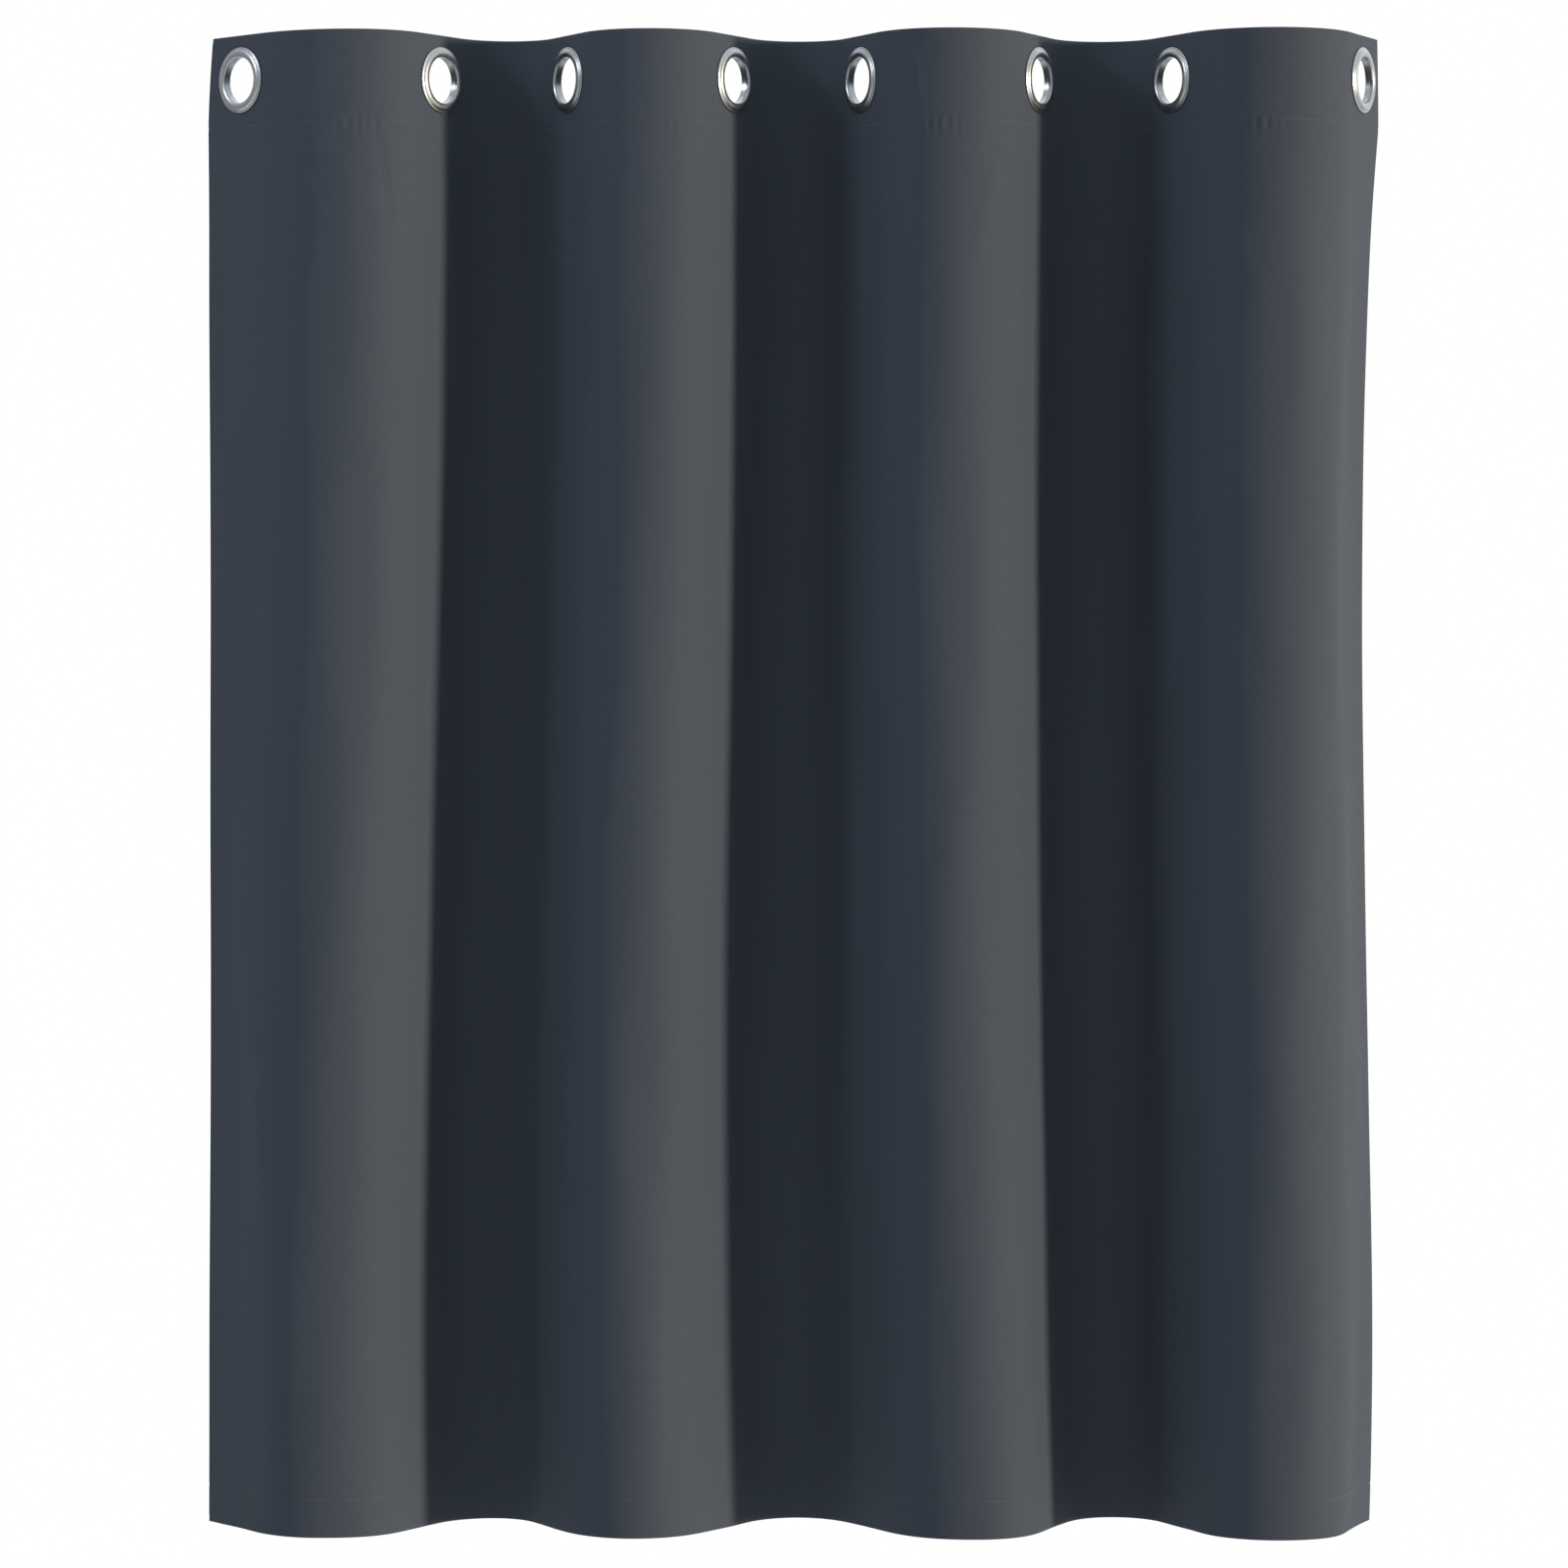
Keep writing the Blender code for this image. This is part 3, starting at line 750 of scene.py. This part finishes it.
class Sheet:
    """A mesh that grows grid by grid, with the flat place of each point as its UV."""

    def __init__(self, name):
        self.name = name
        self.mesh = bmesh.new()
        self.flat = {}

    def grid(self, points, flat_x, flat_y, first=None):
        """Adds a grid of faces through points[row][column]; first is a column of vertices to join."""
        rows = []
        for i, row in enumerate(points):
            made = [first[i]] if first else []
            for j in range(len(made), len(row)):
                vertex = self.mesh.verts.new(row[j])
                self.flat[vertex] = (float(flat_x[j]), float(flat_y[i]))
                made.append(vertex)
            rows.append(made)
        for lower, upper in zip(rows, rows[1:]):
            for i in range(len(lower) - 1):
                self.mesh.faces.new((lower[i], lower[i + 1], upper[i + 1], upper[i]))
        return rows

    def object(self, material, thickness):
        """The sheet as an object of this thickness, with its rim's edges sharp."""
        uv = self.mesh.loops.layers.uv.new("cloth")
        for face in self.mesh.faces:
            for loop in face.loops:
                loop[uv].uv = self.flat[loop.vert]
        data = bpy.data.meshes.new(self.name)
        self.mesh.to_mesh(data)
        self.mesh.free()
        obj = add_object(self.name, data)
        solidify = obj.modifiers.new("thickness", "SOLIDIFY")
        solidify.thickness = thickness
        solidify.offset = 0.0
        graph = bpy.context.evaluated_depsgraph_get()
        thick = bpy.data.meshes.new_from_object(obj.evaluated_get(graph))
        thick.name = self.name
        obj.modifiers.clear()
        obj.data = thick
        thick.materials.clear()
        thick.materials.append(material)
        thick.shade_smooth()
        thick.set_sharp_from_angle(angle=radians(CLOTH_SHARP))
        return obj


def open_holes(sheet, plan, hole_r):
    """Removes the faces inside each eyelet and draws the hole's edge out to a circle."""
    s_of = {vertex: flat[0] for vertex, flat in sheet.flat.items()}
    near = [face for face in sheet.mesh.faces if face.calc_center_median().z > SEAM_Z]
    gone = []
    for face in near:
        s = sum(s_of[v] for v in face.verts) / len(face.verts)
        z = face.calc_center_median().z
        if min(np.hypot(s - centre, z) for centre in plan.eyelet_s) < hole_r:
            gone.append(face)
    bmesh.ops.delete(sheet.mesh, geom=gone, context="FACES")
    sheet.flat = {v: flat for v, flat in sheet.flat.items() if v.is_valid}
    for vertex in [v for v in sheet.flat if v.is_boundary]:
        s = sheet.flat[vertex][0]
        k = int(np.argmin([abs(s - centre) for centre in plan.eyelet_s]))
        away = np.hypot(s - plan.eyelet_s[k], vertex.co.z)
        if not NEAR_HOLE[0] * hole_r < away < NEAR_HOLE[1] * hole_r:
            continue
        if abs(s - plan.eyelet_s[k]) >= ON_CUT:
            along = plan.directions[k] * (s - plan.eyelet_s[k]) * (hole_r / away - 1)
            vertex.co.x += along[0]
            vertex.co.y += along[1]
        vertex.co.z *= hole_r / away


def hem_corner(plan, s, depth):
    """The hem's turning stands further back where it passes over a side hem's turning."""
    edge = np.minimum(s, plan.width - s)
    over = 1 - smoothstep((edge - SIDE_HEM) / HEM_EASE)
    return depth * (1 + over)


def side_turning(sheet, hang, rows, edge_s, way):
    """Joins the turned layer of a side hem to the face layer's edge column."""
    z = np.array([row[0] for row in rows])
    edge = [row[1] for row in rows]
    radius = TURNING_DEPTH / 2
    places = [(edge_s, 0.0)]
    for i in range(1, TURN_STEPS):
        angle = pi * i / TURN_STEPS
        places.append((edge_s - way * radius * sin(angle), radius - radius * cos(angle)))
    for inside in spaced(0.0, SIDE_HEM, SIDE_TURNING_COLUMN):
        places.append((edge_s + way * inside, TURNING_DEPTH))
    s = np.array([place[0] for place in places])
    depth = np.array([place[1] for place in places])
    points = hang.at(s[None, :], z[:, None], depth[None, :])
    flat_x = edge_s - way * np.concatenate([[0.0], np.cumsum(np.hypot(np.diff(s), np.diff(depth)))])
    sheet.grid(points, flat_x, z - BOTTOM_Z, first=edge)


def make_cloth(hang, name, left, right, material):
    """The cloth between two places along it, with its header facing, hems and eyelet holes."""
    plan = hang.plan
    sheet = Sheet(name)
    columns = column_places(plan, left, right)
    depth, z, along = cloth_rows()
    turned = np.arange(len(z)) < np.argmax(depth == 0.0)
    depths = np.repeat(depth[:, None], len(columns), 1)
    depths[turned] = hem_corner(plan, columns[None, :], depths[turned])
    points = hang.at(columns[None, :], z[:, None], depths)
    rows = sheet.grid(points, columns, along)
    face = [(z[i], row) for i, row in enumerate(rows) if depth[i] == 0.0]
    lowest, highest = BOTTOM_Z + SIDE_TURNING_ENDS[0], TOP_Z - SIDE_TURNING_ENDS[1]
    inner = [(height, row) for height, row in face if lowest < height < highest]
    if left == 0.0:
        side_turning(sheet, hang, [(height, row[0]) for height, row in inner], 0.0, 1)
    if right == plan.width:
        side_turning(sheet, hang, [(height, row[-1]) for height, row in inner], plan.width, -1)
    open_holes(sheet, plan, RING_R - HOLE_IN_RING)
    return sheet.object(material, CLOTH)


def make_tape(hang, name, left, right, material):
    """The stiff woven tape inside the header."""
    plan = hang.plan
    first, last = SIDE_HEM + TAPE_PAST_HEM, plan.width - SIDE_HEM - TAPE_PAST_HEM
    columns = column_places(plan, max(left, first), min(right, last))
    z = spaced(SEAM_Z + TAPE_ABOVE_SEAM, TOP_Z - TAPE_TO_TOP, HEADER_ROW)
    sheet = Sheet(name)
    sheet.grid(hang.at(columns[None, :], z[:, None], FACING_DEPTH / 2), columns, z - SEAM_Z)
    open_holes(sheet, plan, RING_R - HOLE_IN_RING)
    return sheet.object(material, TAPE)


# ---------------------------------------------------------------- stitching


def stitch_mesh(name, stitches, material):
    """Short rounded threads, each between two points with the cloth's normal at it."""
    sides, stations = 6, ((0.0, 0.25), (0.18, 0.9), (0.5, 1.0), (0.82, 0.9), (1.0, 0.25))
    vertices, faces, flats = [], [], []
    for start, end, out in stitches:
        run = (end - start) / np.linalg.norm(end - start)
        across = np.cross(run, out)
        base = len(vertices)
        for share, size in stations:
            middle = start + (end - start) * share
            for i in range(sides):
                angle = tau * i / sides
                spoke = across * cos(angle) + out * sin(angle)
                vertices.append(middle + spoke * THREAD_R * size)
                flats.append((share * STITCH, THREAD_R * i))
        for j in range(len(stations) - 1):
            for i in range(sides):
                a, b = base + j * sides + i, base + j * sides + (i + 1) % sides
                faces.append((a, b, b + sides, a + sides))
        faces.append([base + i for i in reversed(range(sides))])
        faces.append([base + (len(stations) - 1) * sides + i for i in range(sides)])
    data = bpy.data.meshes.new(name)
    data.from_pydata(vertices, [], faces)
    uv = data.uv_layers.new(name="cloth")
    corners = np.zeros(len(data.loops), int)
    data.loops.foreach_get("vertex_index", corners)
    uv.data.foreach_set("uv", np.array(flats)[corners].ravel())
    data.materials.append(material)
    data.shade_smooth()
    return add_object(name, data)


def level_stitches(hang, left, right, z, rear_depth):
    """Stitches along a level seam, on the face and on the rear of the layers that it holds."""
    first = int(np.ceil((left + STITCH / 2) / STITCH_PITCH))
    last = int(np.floor((right - STITCH / 2) / STITCH_PITCH))
    middles = np.arange(first, last + 1) * STITCH_PITCH
    found = []
    for depth, side in ((-CLOTH / 2, -1), (rear_depth + CLOTH / 2, 1)):
        starts = hang.at(middles - STITCH / 2, z, depth)
        ends = hang.at(middles + STITCH / 2, z, depth)
        outs = hang.rear(middles, np.full_like(middles, z)) * side
        found += list(zip(starts, ends, outs))
    return found


def upright_stitches(hang, s):
    """Stitches of a side seam, on the face and, between the other hems, on the rear."""
    heights = np.arange(BOTTOM_Z + SIDE_STITCH_END, TOP_Z - SIDE_STITCH_END, STITCH_PITCH)
    found = []
    for depth, side in ((-CLOTH / 2, -1), (TURNING_DEPTH + CLOTH / 2, 1)):
        if side == 1:
            clear = (heights > BOTTOM_Z + HEM_DEPTH) & (heights < SEAM_Z - SIDE_STITCH_BELOW_SEAM)
            heights = heights[clear]
        starts = hang.at(s, heights, depth)
        ends = hang.at(s, heights + STITCH, depth)
        outs = hang.rear(np.full_like(heights, s), heights) * side
        found += list(zip(starts, ends, outs))
    return found


# ---------------------------------------------------------------- eyelets


def arc(middle_r, middle_z, radius_r, radius_z, start, end, steps):
    """Radii and heights along an elliptical arc, by angles in degrees."""
    angles = [radians(start + (end - start) * i / steps) for i in range(steps + 1)]
    return [(middle_r + radius_r * cos(a), middle_z + radius_z * sin(a)) for a in angles]


def front_ring_profile(seat, barrel_end):
    """From the outer lip over the groove and the dished face, down the barrel to its curl."""
    lip_r = RING_R - LIP_WIDTH
    groove_z = seat + 2 * LIP_RISE + GROOVE_DEPTH
    face_r = RING_R - FACE_INSIDE_RIM
    face_middle, face_half = (face_r + BORE_R) / 2, (face_r - BORE_R) / 2
    curl_z = barrel_end + CURL_LIFT
    wall_r = BORE_R + BARREL_WALL
    profile = [(RING_R - inside, seat) for inside in FOOT]
    profile += arc(lip_r, seat + LIP_RISE, LIP_WIDTH, LIP_RISE, -30, 90, 5)
    profile += arc(lip_r - GROOVE_IN, groove_z, LIP_WIDTH, GROOVE_DEPTH, 270, 200, 3)
    profile += arc(face_middle, seat + FACE_FROM_SEAT, face_half, FACE_RISE, 12, 168, 12)
    profile += [(BORE_R, seat + BARREL_FROM_SEAT), (BORE_R, curl_z)]
    profile += arc(BORE_R + CURL_WIDTH, curl_z, CURL_WIDTH, CURL_RISE, 180, 360, 6)
    profile += [(wall_r, barrel_end + CURL_END_LIFT), (wall_r, seat)]
    return profile


def rear_ring_profile(seat):
    """A domed washer behind the cloth; heights fall towards the rear."""
    inner_r = BORE_R + REAR_RING_CLEAR
    middle, half = (inner_r + RING_R) / 2, (RING_R - inner_r) / 2
    dome = arc(middle, seat - REAR_RING_DEEP, half, REAR_RING_RISE, 180, 360, 14)
    return [(inner_r, seat), *dome, (RING_R, seat)]


def turned_ring(name, profile, centre, direction, material):
    """A ring turned about the eyelet's axis, which points out of the cloth's face."""
    out = np.array((direction[1], -direction[0], 0.0))
    along = np.array((direction[0], direction[1], 0.0))
    up = np.array((0.0, 0.0, 1.0))
    middle = np.array((centre[0], centre[1], 0.0))
    count = len(profile)
    runs = [np.hypot(b[0] - a[0], b[1] - a[1]) for a, b in zip(profile, profile[1:] + profile[:1])]
    length = np.concatenate([[0.0], np.cumsum(runs)])
    vertices, faces, flats = [], [], []
    for i in range(RING_STEPS):
        spoke = along * cos(tau * i / RING_STEPS) + up * sin(tau * i / RING_STEPS)
        vertices += [middle + spoke * r + out * z for r, z in profile]
    for i in range(RING_STEPS):
        for j in range(count):
            a, b = i * count + j, i * count + (j + 1) % count
            c, d = (i + 1) % RING_STEPS * count + (j + 1) % count, (i + 1) % RING_STEPS * count + j
            faces.append((a, b, c, d))
            arc_a, arc_b = RING_R * tau * i / RING_STEPS, RING_R * tau * (i + 1) / RING_STEPS
            flats += [(arc_a, length[j]), (arc_a, length[j + 1]), (arc_b, length[j + 1]), (arc_b, length[j])]
    data = bpy.data.meshes.new(name)
    data.from_pydata(vertices, [], faces)
    uv = data.uv_layers.new(name="cloth")
    uv.data.foreach_set("uv", np.array(flats).ravel())
    data.materials.append(material)
    mesh = bmesh.new()
    mesh.from_mesh(data)
    bmesh.ops.recalc_face_normals(mesh, faces=mesh.faces)
    mesh.to_mesh(data)
    mesh.free()
    data.shade_smooth()
    data.set_sharp_from_angle(angle=radians(METAL_SHARP))
    return add_object(name, data)


def make_eyelet(plan, k, material):
    centre, direction = plan.centres[k], plan.directions[k]
    front_seat = CLOTH / 2 + SEAT_GAP
    rear_seat = -(FACING_DEPTH + CLOTH / 2 + SEAT_GAP)
    front = front_ring_profile(front_seat, rear_seat - BARREL_PAST_SEAT)
    rear = rear_ring_profile(rear_seat)
    number = k + 1
    pieces = []
    for side, profile in (("front", front), ("rear", rear)):
        ring = turned_ring(f"eyelet_{side}_{number}", profile, centre, direction, material)
        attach(ring, f"flank_{number}")
        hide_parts(f"{side}_ring_{number}")
        pieces.append(ring)
    return pieces


# ---------------------------------------------------------------- the whole panel


class Section:
    """A stretch of the panel that lies between two bodies, or rides on one."""

    def __init__(self, plan, k):
        """k counts the sections from 0, the left edge, to EYELETS, the right edge."""
        cuts = [0.0, *plan.eyelet_s, plan.width]
        self.left, self.right = cuts[k], cuts[k + 1]
        self.label = {0: "left_edge", EYELETS: "right_edge"}.get(k, f"fold_{k}")
        self.bend = None
        if k == 0:
            hinge = next(j for j in frame["joints"] if j["child"] == "flank_1")["pos_m"][0]
            self.bend = ("left_edge", "flank_1", hinge - EDGE_BEND, hinge + EDGE_BEND)
        elif k < EYELETS:
            start = plan.centres[k - 1][0] + plan.directions[k - 1][0] * RING_FLAT
            end = plan.centres[k][0] - plan.directions[k][0] * RING_FLAT
            self.bend = (f"flank_{k}", f"flank_{k + 1}", start, end)

    def carry(self, obj, slot, *replaced):
        if self.bend:
            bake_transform(obj)
        else:
            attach(obj, f"flank_{EYELETS}")
        if replaced:
            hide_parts(*replaced)
        return obj


def own_node(kind, k):
    """The frame's node of this kind that section k stands for: none for section 0, the left edge."""
    return [f"{kind}_{k}"] if k else []


def make_panel():
    plan = Plan()
    hang = Hang(plan)
    cloth = cloth_material("charcoal cloth", CLOTH_COLOURS, CLOTH_PITCH, CLOTH_SHEEN)
    tape = cloth_material("header tape", TAPE_COLOURS, TAPE_PITCH, TAPE_SHEEN)
    thread = thread_material()
    metal = metal_material()
    eyelets = [make_eyelet(plan, k, metal) for k in range(EYELETS)]
    for k in range(EYELETS):
        make_flag(plan, k)
    for k in range(EYELETS + 1):
        section = Section(plan, k)
        left, right, label = section.left, section.right, section.label
        body = make_cloth(hang, f"cloth_{label}", left, right, cloth)
        band = make_tape(hang, f"tape_{label}", left, right, tape)
        header = level_stitches(hang, left, right, SEAM_Z, FACING_DEPTH)
        hem = level_stitches(hang, left, right, HEM_SEAM_Z, TURNING_DEPTH)
        pieces = [
            stitch_mesh(f"header_stitches_{label}", header, thread),
            stitch_mesh(f"hem_stitches_{label}", hem, thread),
        ]
        section.carry(body, "cloth", *(own_node("cloth", k) or ["left_side_hem"]))
        section.carry(band, "header_tape", *own_node("header_tape", k))
        section.carry(pieces[0], "sewing_thread", *own_node("header_seam", k))
        section.carry(pieces[1], "sewing_thread", *own_node("hem_seam", k))
        for edge, s in (("left", SIDE_SEAM_IN), ("right", plan.width - SIDE_SEAM_IN)):
            if left < s < right:
                side = stitch_mesh(f"side_stitches_{edge}", upright_stitches(hang, s), thread)
                pieces.append(section.carry(side, "sewing_thread", f"{edge}_side_seam"))
        if k == EYELETS:
            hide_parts("right_side_hem")
        if k:
            pieces += eyelets[k - 1]


make_camera()
make_key_light()
make_softbox()
make_studio()
make_floor()
make_panel()
